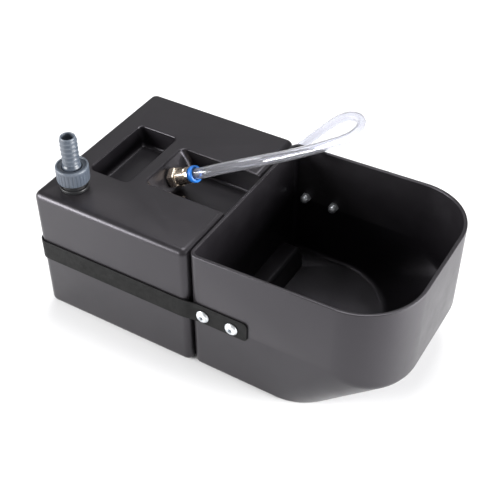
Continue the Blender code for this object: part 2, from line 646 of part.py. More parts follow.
def push_in_fitting():
    turned("fitting_washer", tube_profile(0.0085, 0.0105, GAP, 0.0016), black_rubber("fitting_washer"),
           on_fitting(), MEDIUM)
    body = [(0.0040, -0.0130), (0.0081, -0.0130), (0.0081, 0.0019), (0.0100, 0.0019), (0.0100, 0.0108),
            (0.0090, 0.0116), (0.0090, 0.0290), (0.0086, 0.0302), (0.0077, 0.0302), (0.0077, 0.0142),
            (0.0040, 0.0142)]
    shell = turned("fitting_body", body, nickel("fitting_body"), on_fitting(), FINE)
    shell_hex(shell)
    turned("tube_seal", tube_profile(0.0063, 0.0074, 0.0146, 0.0166), black_rubber("tube_seal"),
           on_fitting(), MEDIUM)
    turned("grab_ring", tube_profile(0.0063, 0.0074, 0.0170, 0.0178), zinc("grab_ring"), on_fitting(), MEDIUM)
    collar = [(0.0063, -0.0168), (0.0072, -0.0168), (0.0072, -0.0046), (0.0089, -0.0046), (0.0093, -0.0038),
              (0.0093, -0.0012), (0.0084, 0.0), (0.0069, 0.0), (0.0063, -0.0008)]
    turned("release_collar", collar, blue_acetal("release_collar"), on_fitting(FITTING_FACE), FINE)
    hex_nut("fitting_backnut", 0.0087, 0.0118, -0.0100, -WALL - GAP, brass("fitting_backnut"), on_fitting())
    dip_tube()


def shell_hex(shell):
    """The hexagon is a separate prism added round the body's first stretch."""
    hexagon = turned("fitting_hexagon", [(0.0092, 0.0022), (0.0105, 0.0022), (0.0117, 0.0032), (0.0117, 0.0098),
                                         (0.0105, 0.0108), (0.0092, 0.0108)], None, on_fitting(), 6)
    boolean(shell, hexagon, "UNION")


def dip_tube():
    """Suction leg from the fitting's inner end down to just above the tank's floor."""
    start = FITTING_POINT - FITTING_AXIS * 0.0133
    bend = [start, start - FITTING_AXIS * 0.0020, start + Vector((-0.0032, 0, -0.0030)),
            start + Vector((-0.0042, 0, -0.0070)), Vector((start.x - 0.0043, 0, 0.070)),
            Vector((start.x - 0.0043, 0, 0.014))]
    tube_between("dip_tube", bend, 0.0030, black_plastic("dip_tube"))


def tube_between(name, points, radius, mat, resolution=2):
    curve = bpy.data.curves.new(name, "CURVE")
    curve.dimensions = "3D"
    curve.bevel_depth = radius
    curve.bevel_resolution = resolution
    curve.use_fill_caps = True
    spline = curve.splines.new("POLY")
    spline.points.add(len(points) - 1)
    for point, place in zip(spline.points, points):
        point.co = (*place, 1.0)
    curve.materials.append(mat)
    obj = bpy.data.objects.new(name, curve)
    bpy.context.scene.collection.objects.link(obj)
    return obj


# ---------------------------------------------------------------- water way between tank and bowl
def link():
    inside = TANK_FRONT_X - WALL
    flange = [(0.0044, -0.0038), (0.0094, -0.0038), (0.0094, -GAP), (LINK_R, -GAP), (LINK_R, 0.0400),
              (0.0044, 0.0400)]
    turned("link_spigot", flange, black_plastic("link_spigot"), along((inside, 0, LINK_Z), (1, 0, 0)), MEDIUM)
    hex_nut("link_nut", LINK_R + GAP, 0.0092, 0.0009, 0.0060, black_plastic("link_nut"),
            along((TANK_FRONT_X, 0, LINK_Z), (1, 0, 0)))
    front = BOWL_REAR_X + LEDGE_DEEP
    groove = [(LINK_R + GAP, -0.0060), (0.0094, -0.0060), (0.0094, -0.0043), (0.0080, -0.0043), (0.0080, 0.0055),
              (0.0094, 0.0055), (0.0094, 0.0072), (LINK_R + GAP, 0.0072)]
    turned("link_grommet", groove, black_rubber("link_grommet"), along((front, 0, LINK_Z), (1, 0, 0)), MEDIUM)


# ---------------------------------------------------------------- clear tube
def smooth_route(points, step):
    """Points about one step apart on a Catmull-Rom curve through the route's points."""
    points = [Vector(p) for p in points]
    padded = [2 * points[0] - points[1]] + points + [2 * points[-1] - points[-2]]
    out = []
    for k in range(len(points) - 1):
        a, b, c, d = padded[k:k + 4]
        count = max(1, round((c - b).length / step))
        for j in range(count):
            t = j / count
            bend = (2 * a - 5 * b + 4 * c - d) * t * t + (3 * b - a - 3 * c + d) * t * t * t
            out.append((2 * b + (c - a) * t + bend) / 2)
    return out + [points[-1]]


def clear_tube():
    """From the fitting over the bowl's far rim, round, and down behind the tank to the coil on the ground."""
    inside = [FITTING_POINT + FITTING_AXIS * step for step in (0.0145, 0.0255, FITTING_FACE)]
    route = smooth_route(inside + list(TUBE_ROUTE), 0.013)
    tube_between("clear_tube", route, TUBE_R, clear_pvc("clear_tube"))
    turned("tube_coil", [(COIL_TURN_R - TUBE_R, 0.0), (COIL_TURN_R + TUBE_R, 0.0),
                         (COIL_TURN_R + TUBE_R, COIL_HIGH), (COIL_TURN_R - TUBE_R, COIL_HIGH)],
           clear_pvc("tube_coil"), Matrix.Translation(COIL_CENTRE), FINE)


def clear_all():
    for obj in list(bpy.data.objects):
        bpy.data.objects.remove(obj, do_unlink=True)


def main():
    clear_all()
    tank_shell()
    base_cover()
    bowl_shell()
    strap()
    strap_fasteners()
    inlet()
    float_valve()
    push_in_fitting()
    link()
    clear_tube()


main()
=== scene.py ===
"""Looks for the livestock water trough: fine shells, fittings, clear tube, materials, light and camera.

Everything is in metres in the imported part's frame: +X from the tank to the bowl's front, +Z up.
"""
import json
from math import cos, hypot, pi, radians, sin, tan

import bmesh
import bpy
from mathutils import Matrix, Vector


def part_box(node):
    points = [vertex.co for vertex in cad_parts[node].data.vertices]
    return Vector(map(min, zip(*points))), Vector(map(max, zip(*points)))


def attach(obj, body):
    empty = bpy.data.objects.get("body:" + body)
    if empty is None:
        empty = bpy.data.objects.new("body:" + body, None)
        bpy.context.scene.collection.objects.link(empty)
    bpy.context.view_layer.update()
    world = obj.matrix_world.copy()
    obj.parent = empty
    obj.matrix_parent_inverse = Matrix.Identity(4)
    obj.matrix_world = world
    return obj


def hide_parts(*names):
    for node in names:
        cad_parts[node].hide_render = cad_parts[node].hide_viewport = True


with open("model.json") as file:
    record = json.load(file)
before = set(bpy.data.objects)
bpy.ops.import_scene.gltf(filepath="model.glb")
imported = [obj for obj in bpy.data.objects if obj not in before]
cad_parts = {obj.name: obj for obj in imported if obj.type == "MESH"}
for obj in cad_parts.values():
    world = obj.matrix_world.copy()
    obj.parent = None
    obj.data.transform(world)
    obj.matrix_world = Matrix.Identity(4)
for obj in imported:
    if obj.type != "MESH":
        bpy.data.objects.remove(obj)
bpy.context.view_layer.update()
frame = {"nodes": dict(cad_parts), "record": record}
NODES = frame["nodes"]

# ---------------------------------------------------------------- places taken from the frame
TANK_LOW, TANK_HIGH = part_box("tank_shell")
BOWL_LOW, BOWL_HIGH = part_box("bowl_shell")
STRAP_LOW, STRAP_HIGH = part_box("strap")
UNION_LOW, UNION_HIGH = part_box("union_nut")
INLET_X = (UNION_LOW.x + UNION_HIGH.x) / 2
INLET_Y = (UNION_LOW.y + UNION_HIGH.y) / 2
TAIL_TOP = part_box("hose_tail")[1].z
COIL_LOW, COIL_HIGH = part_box("tube_coil")

# ---------------------------------------------------------------- sizes
WALL = 0.004
GAP = 0.0003
LEAST_RADIUS = 0.0008               # no plan corner of the tank gets tighter than this
TANK_EDGE = 0.0073
TANK_CORNER = 0.0085
BOWL_CORNER = 0.064
BOWL_REAR_CORNER = 0.0095
BOWL_FOOT_X = BOWL_HIGH.x - 0.0637
BOWL_FOOT_CORNER = 0.062
BOWL_BOTTOM_EDGE = 0.007
CREASE_LOW = 0.0565
CREASE_RISE = 4.5
RIM_SLOPE = 0.029
RIM_REAR_Z = BOWL_HIGH.z - RIM_SLOPE * (BOWL_HIGH.x - BOWL_LOW.x)
RIM_ROUND = 0.0011
INSIDE_FOOT_CORNER = 0.085
DISH_WIDTH = 0.026
DISH_RISE = 0.005
LEDGE_HALF = 0.084
LEDGE_HIGH = 0.0295
LEDGE_DEEP = 0.0252
STRAP_THICK = 0.0016
STRAP_WIDE = 0.0238
STRAP_Z = {-1: STRAP_LOW.z + STRAP_WIDE / 2, 1: STRAP_HIGH.z - STRAP_WIDE / 2}
STRAP_END_ROUND = 0.0045
BOLT_HOLE_R = 0.0034
POCKET_REAR_X = TANK_LOW.x + 0.0262
POCKET_FRONT_X = TANK_LOW.x + 0.0755
POCKET_NEAR_Y = -0.0470
POCKET_FAR_Y = 0.0462
POCKET_DEEP = 0.0245
LIP = 0.0016                        # rounded lip of the pocket and the notch
NOTCH_REAR_X = TANK_LOW.x + 0.0900
NOTCH_NEAR_Y = -0.0370
NOTCH_FAR_Y = 0.0340
NOTCH_DEEP = 0.0272
FITTING_TILT = radians(30)
FITTING_AXIS = Vector((cos(FITTING_TILT), 0.0, sin(FITTING_TILT)))
FITTING_POINT = Vector((TANK_LOW.x + 0.0992, 0.0, TANK_HIGH.z - 0.0157))
FITTING_FACE = 0.0363
THREAD_R = 0.0131
TUBE_R = 0.0060
TUBE_BORE_R = 0.0044
COIL_CENTRE = Vector(((COIL_LOW.x + COIL_HIGH.x) / 2, (COIL_LOW.y + COIL_HIGH.y) / 2, 0.0))
COIL_TURN_R = (COIL_HIGH.x - COIL_LOW.x) / 2 - TUBE_R
SIDE_WORDS = {-1: "near", 1: "far"}
COVER_X = TANK_LOW.x + 0.0940
COVER_R = 0.0620
BOSS_LAP = 0.006                    # the cover's boss is this much wider than the cover
LINK_Z = 0.0142
FOOT_TURN = 0.007                   # rounding along the foot of the bowl's inner wall
FIRST_BARB_Z = 0.1855
BARB_PITCH = 0.0052
UNION_RIBS = 28
RIB_DEPTH = 0.0005
TIE_HALF_WIDTH = 0.0018
TIE_THICK = 0.0008

CAMERA_AT = Vector((0.3930, -0.6777, 0.7791))
CAMERA_AZIMUTH = radians(30.6244)
CAMERA_ELEVATION = radians(41.6419)
CAMERA_LENS = 70.69                 # on a 36 mm wide sensor
SKY_STRENGTH = 0.24

# Area lights: name, place, point aimed at, width, height, watts.
LIGHTS = (
    ("front_left", (-1.45, -1.4, 0.75), (0, 0, 0.08), 1.4, 0.8, 78.0),
    ("right_low", (1.7, 0.30, 0.4), (0.1, 0, 0.06), 1.2, 0.7, 92.0),
    ("overhead", (-0.12, 0.38, 1.5), (0, 0, 0.1), 0.8, 0.7, 14.0),
    ("back", (-1.0, 1.5, 1.3), (0, 0, 0.1), 1.4, 1.0, 1.8),
)

TUBE_ROUTE = (
    (-0.0608, 0.0015, 0.1625), (-0.0493, 0.0060, 0.1675), (-0.0388, 0.0115, 0.1712),
    (-0.0290, 0.0181, 0.1736), (-0.0203, 0.0263, 0.1745), (-0.0128, 0.0364, 0.1736),
    (-0.0063, 0.0483, 0.1712), (0.0000, 0.0615, 0.1682), (0.0062, 0.0755, 0.1652),
    (0.0123, 0.0895, 0.1624), (0.0189, 0.1030, 0.1605), (0.0262, 0.1150, 0.1603),
    (0.0335, 0.1270, 0.1602), (0.0387, 0.1410, 0.1598), (0.0397, 0.1570, 0.1592),
    (0.0347, 0.1720, 0.1578), (0.0247, 0.1825, 0.1545), (0.0117, 0.1880, 0.1480),
    (-0.0018, 0.1900, 0.1375), (-0.0143, 0.1902, 0.1245), (-0.0258, 0.1897, 0.1112),
    (-0.0373, 0.1890, 0.0975), (-0.0488, 0.1885, 0.0830), (-0.0600, 0.1850, 0.0685),
    (-0.0705, 0.1775, 0.0555), (-0.0800, 0.1670, 0.0450), (-0.0890, 0.1545, 0.0370),
)


# ---------------------------------------------------------------- material helpers
class Graph:
    """Small wrapper that adds and joins shader nodes for one material."""

    def __init__(self, name):
        self.mat = bpy.data.materials.new(name)
        self.mat.use_nodes = True
        self.tree = self.mat.node_tree
        self.shader = self.tree.nodes["Principled BSDF"]
        self.place = self.node("ShaderNodeTexCoord").outputs["Object"]

    def node(self, kind, **settings):
        node = self.tree.nodes.new(kind)
        for key, value in settings.items():
            setattr(node, key, value)
        return node

    def join(self, source, target):
        self.tree.links.new(source, target)

    def noise(self, scale, detail=3.0, rough=0.5, stretch=None):
        node = self.node("ShaderNodeTexNoise")
        node.inputs["Scale"].default_value = scale
        node.inputs["Detail"].default_value = detail
        node.inputs["Roughness"].default_value = rough
        source = self.place
        if stretch:
            mapping = self.node("ShaderNodeMapping")
            mapping.inputs["Scale"].default_value = stretch
            self.join(source, mapping.inputs["Vector"])
            source = mapping.outputs["Vector"]
        self.join(source, node.inputs["Vector"])
        return node.outputs["Fac"]

    def spread(self, value, low, high, start=0.3, end=0.7):
        """Maps a noise value from start..end on to low..high."""
        node = self.node("ShaderNodeMapRange")
        node.inputs["From Min"].default_value = start
        node.inputs["From Max"].default_value = end
        node.inputs["To Min"].default_value = low
        node.inputs["To Max"].default_value = high
        self.join(value, node.inputs["Value"])
        return node.outputs["Result"]

    def mix(self, factor, first, second):
        node = self.node("ShaderNodeMix", data_type="RGBA")
        for socket, colour in ((node.inputs["A"], first), (node.inputs["B"], second)):
            if isinstance(colour, tuple):
                socket.default_value = (*colour, 1.0)
            else:
                self.join(colour, socket)
        self.join(factor, node.inputs["Factor"])
        return node.outputs["Result"]

    def edges(self, low=0.50, high=0.60):
        """Mask that rises along sharp outer edges, where a highlight is painted."""
        geometry = self.node("ShaderNodeNewGeometry")
        return self.spread(geometry.outputs["Pointiness"], 0.0, 1.0, low, high)

    def bump(self, height, distance, strength=1.0, after=None):
        node = self.node("ShaderNodeBump")
        node.inputs["Distance"].default_value = distance
        node.inputs["Strength"].default_value = strength
        self.join(height, node.inputs["Height"])
        if after:
            self.join(after, node.inputs["Normal"])
        return node.outputs["Normal"]

    def set(self, **values):
        for key, value in values.items():
            socket = self.shader.inputs[key.replace("_", " ")]
            if isinstance(value, (int, float)):
                socket.default_value = value
            elif isinstance(value, tuple):
                socket.default_value = (*value, 1.0)
            else:
                self.join(value, socket)
        return self.mat


def moulded(name, dark, pale, rough_low, rough_high, grain=0.00004, grain_scale=1500.0, edge_highlight=None,
             sheen=(1.0, 1.0, 1.0)):
    """Moulded plastic: faint clouding, fine grain, uneven sheen, painted highlight along outer edges."""
    g = Graph(name)
    colour = g.mix(g.spread(g.noise(14.0, 5.0), 0.0, 1.0), dark, pale)
    specks = g.spread(g.noise(900.0, 2.0), 0.0, 1.0, 0.64, 0.74)
    colour = g.mix(g.spread(specks, 0.0, 0.35, 0.0, 1.0), colour, tuple(2.2 * c for c in pale))
    # edge_highlight: paler colour painted along outer edges as a painted highlight
    if edge_highlight:
        colour = g.mix(g.edges(), colour, edge_highlight)
    rough = g.spread(g.noise(38.0, 6.0, 0.6), rough_low, rough_high)
    fine = g.bump(g.noise(grain_scale, 2.0), grain)
    wavy = g.bump(g.noise(22.0, 2.0), 0.0003, 0.35, after=fine)
    return g.set(Base_Color=colour, Roughness=rough, Normal=wavy, Specular_Tint=sheen)


def metal(name, dark, pale, rough_low, rough_high, metallic=1.0):
    """Plated or bare metal with fine mottling in colour and sheen."""
    g = Graph(name)
    colour = g.mix(g.spread(g.noise(300.0, 4.0), 0.0, 1.0), dark, pale)
    rough = g.spread(g.noise(700.0, 3.0), rough_low, rough_high)
    normal = g.bump(g.noise(2500.0, 2.0), 0.00002)
    return g.set(Base_Color=colour, Roughness=rough, Metallic=metallic, Normal=normal)


def webbing(name):
    """Matt strap with a fine cross grain."""
    g = Graph(name)
    clouds = g.spread(g.noise(160.0, 4.0), 0.0, 1.0)
    colour = g.mix(clouds, (0.006, 0.006, 0.006), (0.012, 0.012, 0.012))
    cross = g.noise(900.0, 1.0, 0.5, (1.0, 1.0, 0.12))
    normal = g.bump(cross, 0.00012)
    g.set(Specular_IOR_Level=0.12)
    return g.set(Base_Color=colour, Roughness=g.spread(g.noise(60.0), 0.50, 0.66), Normal=normal)


def clear_plastic(name):
    """Flexible clear tube, slightly milky and uneven."""
    g = Graph(name)
    rough = g.spread(g.noise(260.0, 3.0), 0.01, 0.05)
    normal = g.bump(g.noise(60.0, 2.0), 0.00010, 0.5)
    tint = g.mix(g.noise(25.0), (0.80, 0.81, 0.87), (0.90, 0.90, 0.94))
    g.set(Base_Color=tint, Roughness=rough, Normal=normal, IOR=1.42)
    return g.set(Transmission_Weight=0.93)


def floor_finish():
    g = Graph("pale_floor")
    colour = g.mix(g.noise(3.0), (0.86, 0.86, 0.87), (0.90, 0.90, 0.90))
    return g.set(Base_Color=colour, Roughness=0.6)


FINISH = {
    # edge_highlight on charcoal and grey PVC is a painted highlight along outer edges
    "charcoal": moulded("charcoal_plastic", (0.0044, 0.0038, 0.0048), (0.0070, 0.0062, 0.0076),
                        0.29, 0.38, edge_highlight=(0.030, 0.028, 0.030), sheen=(0.95, 0.91, 1.0)),
    "strap_black": webbing("strap_finish"),
    "rubber": moulded("rubber_finish", (0.010, 0.010, 0.011), (0.018, 0.018, 0.018), 0.65, 0.8),
    "zinc": metal("zinc_finish", (0.58, 0.61, 0.64), (0.78, 0.80, 0.82), 0.26, 0.42, 0.7),
    "black_plastic": moulded("black_fitting_plastic", (0.010, 0.010, 0.011), (0.020, 0.020, 0.021),
                             0.30, 0.42),
    "grey_pvc": moulded("grey_pvc_finish", (0.042, 0.052, 0.069), (0.058, 0.071, 0.093), 0.30, 0.42,
                        grain=0.00003, edge_highlight=(0.13, 0.15, 0.18)),
    "nickel": metal("nickel_finish", (0.60, 0.50, 0.40), (0.78, 0.68, 0.57), 0.16, 0.30),
    "brass": metal("brass_finish", (0.66, 0.46, 0.18), (0.78, 0.60, 0.30), 0.22, 0.36),
    "blue": moulded("blue_acetal_finish", (0.012, 0.130, 0.480), (0.022, 0.175, 0.600), 0.22, 0.34),
    "float_foam": moulded("float_finish", (0.60, 0.12, 0.05), (0.80, 0.22, 0.10), 0.5, 0.65),
    "clear": clear_plastic("clear_tube_finish"),
}
SLOT_OF = {part["node"]: part["material_slot"] for part in frame["record"]["subparts"]}


# ---------------------------------------------------------------- mesh helpers
def add_mesh(name, bm, finish, matrix=None, smooth=35):
    bmesh.ops.recalc_face_normals(bm, faces=bm.faces)
    mesh = bpy.data.meshes.new(name)
    bm.to_mesh(mesh)
    bm.free()
    obj = bpy.data.objects.new(name, mesh)
    bpy.context.scene.collection.objects.link(obj)
    if finish:
        mesh.materials.append(FINISH[finish])
    if matrix:
        mesh.transform(matrix)
    mesh.shade_smooth()
    mesh.set_sharp_from_angle(angle=radians(smooth))
    return obj


def loft(name, rings, finish, matrix=None, smooth=35, capped=True):
    bm = bmesh.new()
    rows = [[bm.verts.new(p) for p in ring] for ring in rings]
    pairs = list(zip(rows, rows[1:]))
    if not capped:
        pairs.append((rows[-1], rows[0]))
    count = len(rows[0])
    for low, high in pairs:
        for k in range(count):
            after = (k + 1) % count
            bm.faces.new((low[k], low[after], high[after], high[k]))
    if capped:
        bm.faces.new(rows[0][::-1])
        bm.faces.new(rows[-1])
    return add_mesh(name, bm, finish, matrix, smooth)


def turned(name, profile, finish, matrix=None, segments=64, smooth=35):
    bm = bmesh.new()
    rows = []
    for radius, height in profile:
        if radius == 0.0:
            rows.append([bm.verts.new((0.0, 0.0, height))])
            continue
        angles = [2 * pi * k / segments for k in range(segments)]
        rows.append([bm.verts.new((radius * cos(a), radius * sin(a), height)) for a in angles])
    pairs = list(zip(rows, rows[1:]))
    if len(rows[0]) > 1:
        pairs.append((rows[-1], rows[0]))
    for low, high in pairs:
        for k in range(segments):
            after = (k + 1) % segments
            ring = [low[k % len(low)], low[after % len(low)], high[after % len(high)], high[k % len(high)]]
            ring = list(dict.fromkeys(ring))
            if len(ring) > 2:
                bm.faces.new(ring)
    return add_mesh(name, bm, finish, matrix, smooth)


def rounded_profile(points, radius, steps=3):
    """The profile with each corner cut back to a short arc of about that radius."""
    out = []
    last = len(points) - 1
    for k, (x, y) in enumerate(points):
        if k in (0, last):
            out.append((x, y))
            continue
        here = Vector((x, y))
        back = Vector(points[k - 1]) - here
        ahead = Vector(points[k + 1]) - here
        reach = min(radius, back.length * 0.45, ahead.length * 0.45)
        start = here + back.normalized() * reach
        end = here + ahead.normalized() * reach
        for j in range(steps + 1):
            t = j / steps
            point = start * (1 - t) ** 2 + here * 2 * t * (1 - t) + end * t * t
            out.append((point.x, point.y))
    return out


def along(point, axis):
    turn = Vector((0, 0, 1)).rotation_difference(Vector(axis)).to_matrix().to_4x4()
    return Matrix.Translation(point) @ turn


def cylinder(radius, low, high):
    return [(0.0, low), (radius, low), (radius, high), (0.0, high)]


def carve(obj, cutters):
    """Applies (shape, operation) pairs to obj in order and removes the shapes."""
    for other, operation in cutters:
        step = obj.modifiers.new("carve", "BOOLEAN")
        step.object = other
        step.operation = operation
        step.solver = "EXACT"
    settle(obj)
    for other, _ in cutters:
        bpy.data.objects.remove(other)


def settle(obj):
    """Replaces obj's mesh by its modified one."""
    shape = obj.evaluated_get(bpy.context.evaluated_depsgraph_get())
    mesh = bpy.data.meshes.new_from_object(shape)
    obj.modifiers.clear()
    obj.data = mesh


def shade(obj, angle):
    obj.data.shade_smooth()
    obj.data.set_sharp_from_angle(angle=radians(angle))


def stand_for(obj, body, *nodes):
    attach(obj, body)
    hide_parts(*nodes)


def trim(obj, body):
    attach(obj, body)


def arc_corner(cx, cy, radius, start, steps):
    angles = [radians(start + 90 * k / steps) for k in range(steps + 1)]
    return [(cx + radius * cos(a), cy + radius * sin(a), a) for a in angles]


def outline(rear, front, low_y, high_y, front_radius, rear_radius, front_steps=8, rear_steps=8):
    points = arc_corner(front - front_radius, high_y - front_radius, front_radius, 0, front_steps)
    points += arc_corner(rear + rear_radius, high_y - rear_radius, rear_radius, 90, rear_steps)
    points += arc_corner(rear + rear_radius, low_y + rear_radius, rear_radius, 180, rear_steps)
    points += arc_corner(front - front_radius, low_y + front_radius, front_radius, 270, front_steps)
    return points


# ---------------------------------------------------------------- tank
def rounded_box(name, low, high, edge, corner, finish=None, steps=7):
    rings = []
    quarter = [radians(90 * k / steps) for k in range(steps + 1)]
    levels = [(edge * (1 - sin(a)), low.z + edge * (1 - cos(a))) for a in quarter]
    levels += [(edge * (1 - cos(a)), high.z - edge * (1 - sin(a))) for a in quarter]
    for inset, z in levels:
        radius = max(corner - inset, LEAST_RADIUS)
        flat = outline(low.x + inset, high.x - inset, low.y + inset, high.y - inset, radius, radius)
        rings.append([(x, y, z) for x, y, _ in flat])
    return loft(name, rings, finish)


def recess(name, low_x, high_x, low_y, high_y, levels, corner, lean=0.0, front_corner=None):
    """A cutter that narrows level by level: (inset, height); lean moves its rear wall back as it rises."""
    rings = []
    for inset, z in levels:
        radius = max(corner - inset, LEAST_RADIUS)
        front_radius = radius if front_corner is None else front_corner
        rear = low_x + inset + lean * (TANK_HIGH.z - z)
        front = high_x - (inset if front_corner is None else 0.0)
        flat = outline(rear, front, low_y + inset, high_y - inset, front_radius, radius)
        rings.append([(x, y, z) for x, y, _ in flat])
    return loft(name, rings, None)


def dished(bottom, lip, draft, fillet, rise=0.0012, steps=6):
    """(inset, height) levels: rounded lip at the top, drafted wall, rounded foot."""
    top = TANK_HIGH.z
    out = [(-lip - 0.0002, top + rise)]
    for k in range(steps + 1):
        a = radians(90 * k / steps)
        out.append((-lip * (1 - sin(a)), top - lip * (1 - cos(a))))
    for k in range(steps + 1):
        a = radians(90 * k / steps)
        out.append((draft + fillet * (1 - cos(a)), bottom + fillet * (1 - sin(a))))
    return out


def pocket_shapes():
    """The grip pocket in the tank's top: the plastic round it, and the hollow."""
    top = TANK_HIGH.z
    bottom = top - POCKET_DEEP
    plan = (POCKET_REAR_X, POCKET_FRONT_X, POCKET_NEAR_Y, POCKET_FAR_Y)
    levels = [(-WALL, top - 0.002), (0.0015 - WALL, bottom - 0.001), (0.005 - WALL, bottom - WALL)]
    tub = recess("tub", *plan, levels, 0.009)
    return tub, recess("pocket", *plan, dished(bottom, LIP, 0.0016, 0.0048), 0.0065)


def notch_shapes():
    """The notch that opens towards the bowl: the plastic round it, and the hollow."""
    top = TANK_HIGH.z
    floor = top - NOTCH_DEEP
    lean = tan(FITTING_TILT)
    levels = [(0.0, top - 0.002), (0.0, floor), (0.004, floor - WALL)]
    skin = recess("skin", NOTCH_REAR_X - WALL / cos(FITTING_TILT), TANK_HIGH.x - 0.002,
                  NOTCH_NEAR_Y - WALL, NOTCH_FAR_Y + WALL, levels, 0.0105, lean, 0.0005)
    notch = recess("notch", NOTCH_REAR_X, TANK_HIGH.x + 0.010, NOTCH_NEAR_Y, NOTCH_FAR_Y,
                   dished(floor, LIP, 0.0, 0.0030), 0.0070, lean, 0.0005)
    return skin, notch


def tank_holes():
    """Cutters for the cover's mouth, the valve's shank, the push-in fitting and the water link."""
    lip_r = COVER_R - 0.012
    mouth = [(0.0, -0.002), (COVER_R + GAP, -0.002), (COVER_R + GAP, 0.0045), (lip_r, 0.0045),
             (lip_r, 0.013), (0.0, 0.013)]
    yield turned("mouth", mouth, None, Matrix.Translation((COVER_X, 0, 0)))
    yield turned("inlet_hole", cylinder(THREAD_R + GAP, 0.140, 0.160), None, at_inlet())
    yield turned("fitting_hole", cylinder(0.0085, -0.009, 0.006), None, along(FITTING_POINT, FITTING_AXIS))
    yield turned("link_hole", cylinder(0.0063, -0.008, 0.004), None,
                 along((TANK_HIGH.x, 0, LINK_Z), (1, 0, 0)))


def tank_body():
    shell = rounded_box("tank_body", TANK_LOW, TANK_HIGH, TANK_EDGE, TANK_CORNER, "charcoal")
    wall = Vector((WALL, WALL, WALL))
    cavity = rounded_box("cavity", TANK_LOW + wall, TANK_HIGH - wall, 0.003, 0.0045, None, 2)
    tub, pocket = pocket_shapes()
    skin, notch = notch_shapes()
    boss = turned("boss", cylinder(COVER_R + BOSS_LAP, 0.003, 0.0100), None,
                  Matrix.Translation((COVER_X, 0, 0)) @ Matrix.Rotation(0.02, 4, "Z"))
    carve(shell, [
        (cavity, "DIFFERENCE"), (boss, "UNION"), (tub, "UNION"), (skin, "UNION"), (pocket, "DIFFERENCE"),
        (notch, "DIFFERENCE"),
    ] + [(hole, "DIFFERENCE") for hole in tank_holes()])
    shade(shell, 32)
    stand_for(shell, "trough", "tank_shell")


# ---------------------------------------------------------------- bowl
def rim_height(x):
    return RIM_REAR_Z + RIM_SLOPE * (x - BOWL_LOW.x)


def crease_height(x):
    run = min(BOWL_HIGH.x - x, BOWL_CORNER)
    return CREASE_LOW + CREASE_RISE * run * run


def upper_outline(inset):
    half = BOWL_HIGH.y - inset
    rear_radius = max(BOWL_REAR_CORNER - inset, 0.0015)
    return outline(BOWL_LOW.x + inset, BOWL_HIGH.x - inset, -half, half,
                   BOWL_CORNER - inset, rear_radius, 36, 8)


def lower_outline(inset, front_inset, corner):
    half = BOWL_HIGH.y - inset
    rear_radius = max(BOWL_REAR_CORNER - inset, 0.0015)
    return outline(BOWL_LOW.x + inset, BOWL_FOOT_X - front_inset, -half, half,
                   corner, rear_radius, 36, 8)


def rounded_between(foot, crease, normal, radius, steps):
    """Arc between the level floor and the wall that rises from foot to crease."""
    inward = Vector((-cos(normal), -sin(normal), 0))
    rise = (crease - foot).normalized()
    angle = inward.angle(rise)
    reach = radius / tan(angle / 2)
    centre = foot + (inward + rise).normalized() * (radius / sin(angle / 2))
    first = (foot + inward * reach - centre).normalized()
    last = (foot + rise * reach - centre).normalized()
    return [centre + first.slerp(last, k / steps) * radius for k in range(steps + 1)]


def rounded_crease(foot, crease, radius, steps):
    """Quadratic blend over the crease between the sloping underside and the upright wall."""
    below = (foot - crease).normalized() * radius
    above = Vector((0, 0, radius))
    points = []
    for k in range(steps + 1):
        t = k / steps
        points.append(crease + below * (1 - t) ** 2 + above * t * t)
    return points


def column(top, foot):
    """One rib of the bowl's outer skin, from under the floor to the foot of the rim."""
    tx, ty, normal = top
    crease = Vector((tx, ty, crease_height(tx)))
    foot = Vector((foot[0], foot[1], 0.0))
    below = rounded_between(foot, crease, normal, BOWL_BOTTOM_EDGE, 7)
    return below + rounded_crease(foot, crease, 0.004, 5)


def rim_rings():
    """Up over the rounded rim, from the outer face to the inner one."""
    lip = [radians(30 * k) for k in range(4)]
    levels = [(RIM_ROUND * (1 - cos(a)), RIM_ROUND * (1 - sin(a))) for a in lip]
    levels += [(WALL - inset, drop) for inset, drop in reversed(levels)]
    return [[(x, y, rim_height(x) - drop) for x, y, _ in upper_outline(inset)] for inset, drop in levels]


def inside_rings():
    """Down the inner wall, round its foot and in to the level floor."""
    ribs = []
    for (tx, ty, _), (fx, fy, a) in zip(upper_outline(WALL), lower_outline(WALL, 0.0016, INSIDE_FOOT_CORNER)):
        crease = Vector((tx, ty, crease_height(tx) + 0.0018))
        low = Vector((fx, fy, WALL + DISH_RISE * sin(a) ** 2))
        turn = rounded_crease(low, crease, 0.006, 5)[::-1]
        inward = Vector((-cos(a), -sin(a), 0.0)) * FOOT_TURN
        rise = (crease - low).normalized() * FOOT_TURN
        turn += [low + rise * (1 - k / 5) ** 2 + inward * (k / 5) ** 2 for k in range(6)]
        ribs.append(turn)
    floor = lower_outline(WALL + DISH_WIDTH, 0.0080, 0.062)
    floor_line = [(max(x, BOWL_LOW.x + WALL + 0.003), y, WALL) for x, y, _ in floor]
    return [list(ring) for ring in zip(*ribs)] + [floor_line]


def bowl_body():
    top = upper_outline(0.0)
    foot = lower_outline(0.0, 0.0, BOWL_FOOT_CORNER)
    outside = [list(ring) for ring in zip(*[column(t, f) for t, f in zip(top, foot)])]
    bowl = loft("bowl_body", outside + rim_rings() + inside_rings(), "charcoal", smooth=30)
    hollow = slab("hollow", BOWL_LOW.x - 0.005, BOWL_LOW.x + LEDGE_DEEP - WALL, LEDGE_HALF - 0.004,
                  -0.005, LEDGE_HIGH - WALL)
    grommet_hole = turned("grommet_hole", cylinder(0.0083, 0.015, 0.045), None,
                          along((BOWL_LOW.x, 0, LINK_Z), (1, 0, 0)))
    carve(bowl, [(ledge_block(), "UNION"), (hollow, "DIFFERENCE"), (grommet_hole, "DIFFERENCE")]
          + [(drill, "DIFFERENCE") for drill in bolt_drills("bolt_hole")])
    shade(bowl, 30)
    stand_for(bowl, "trough", "bowl_shell")


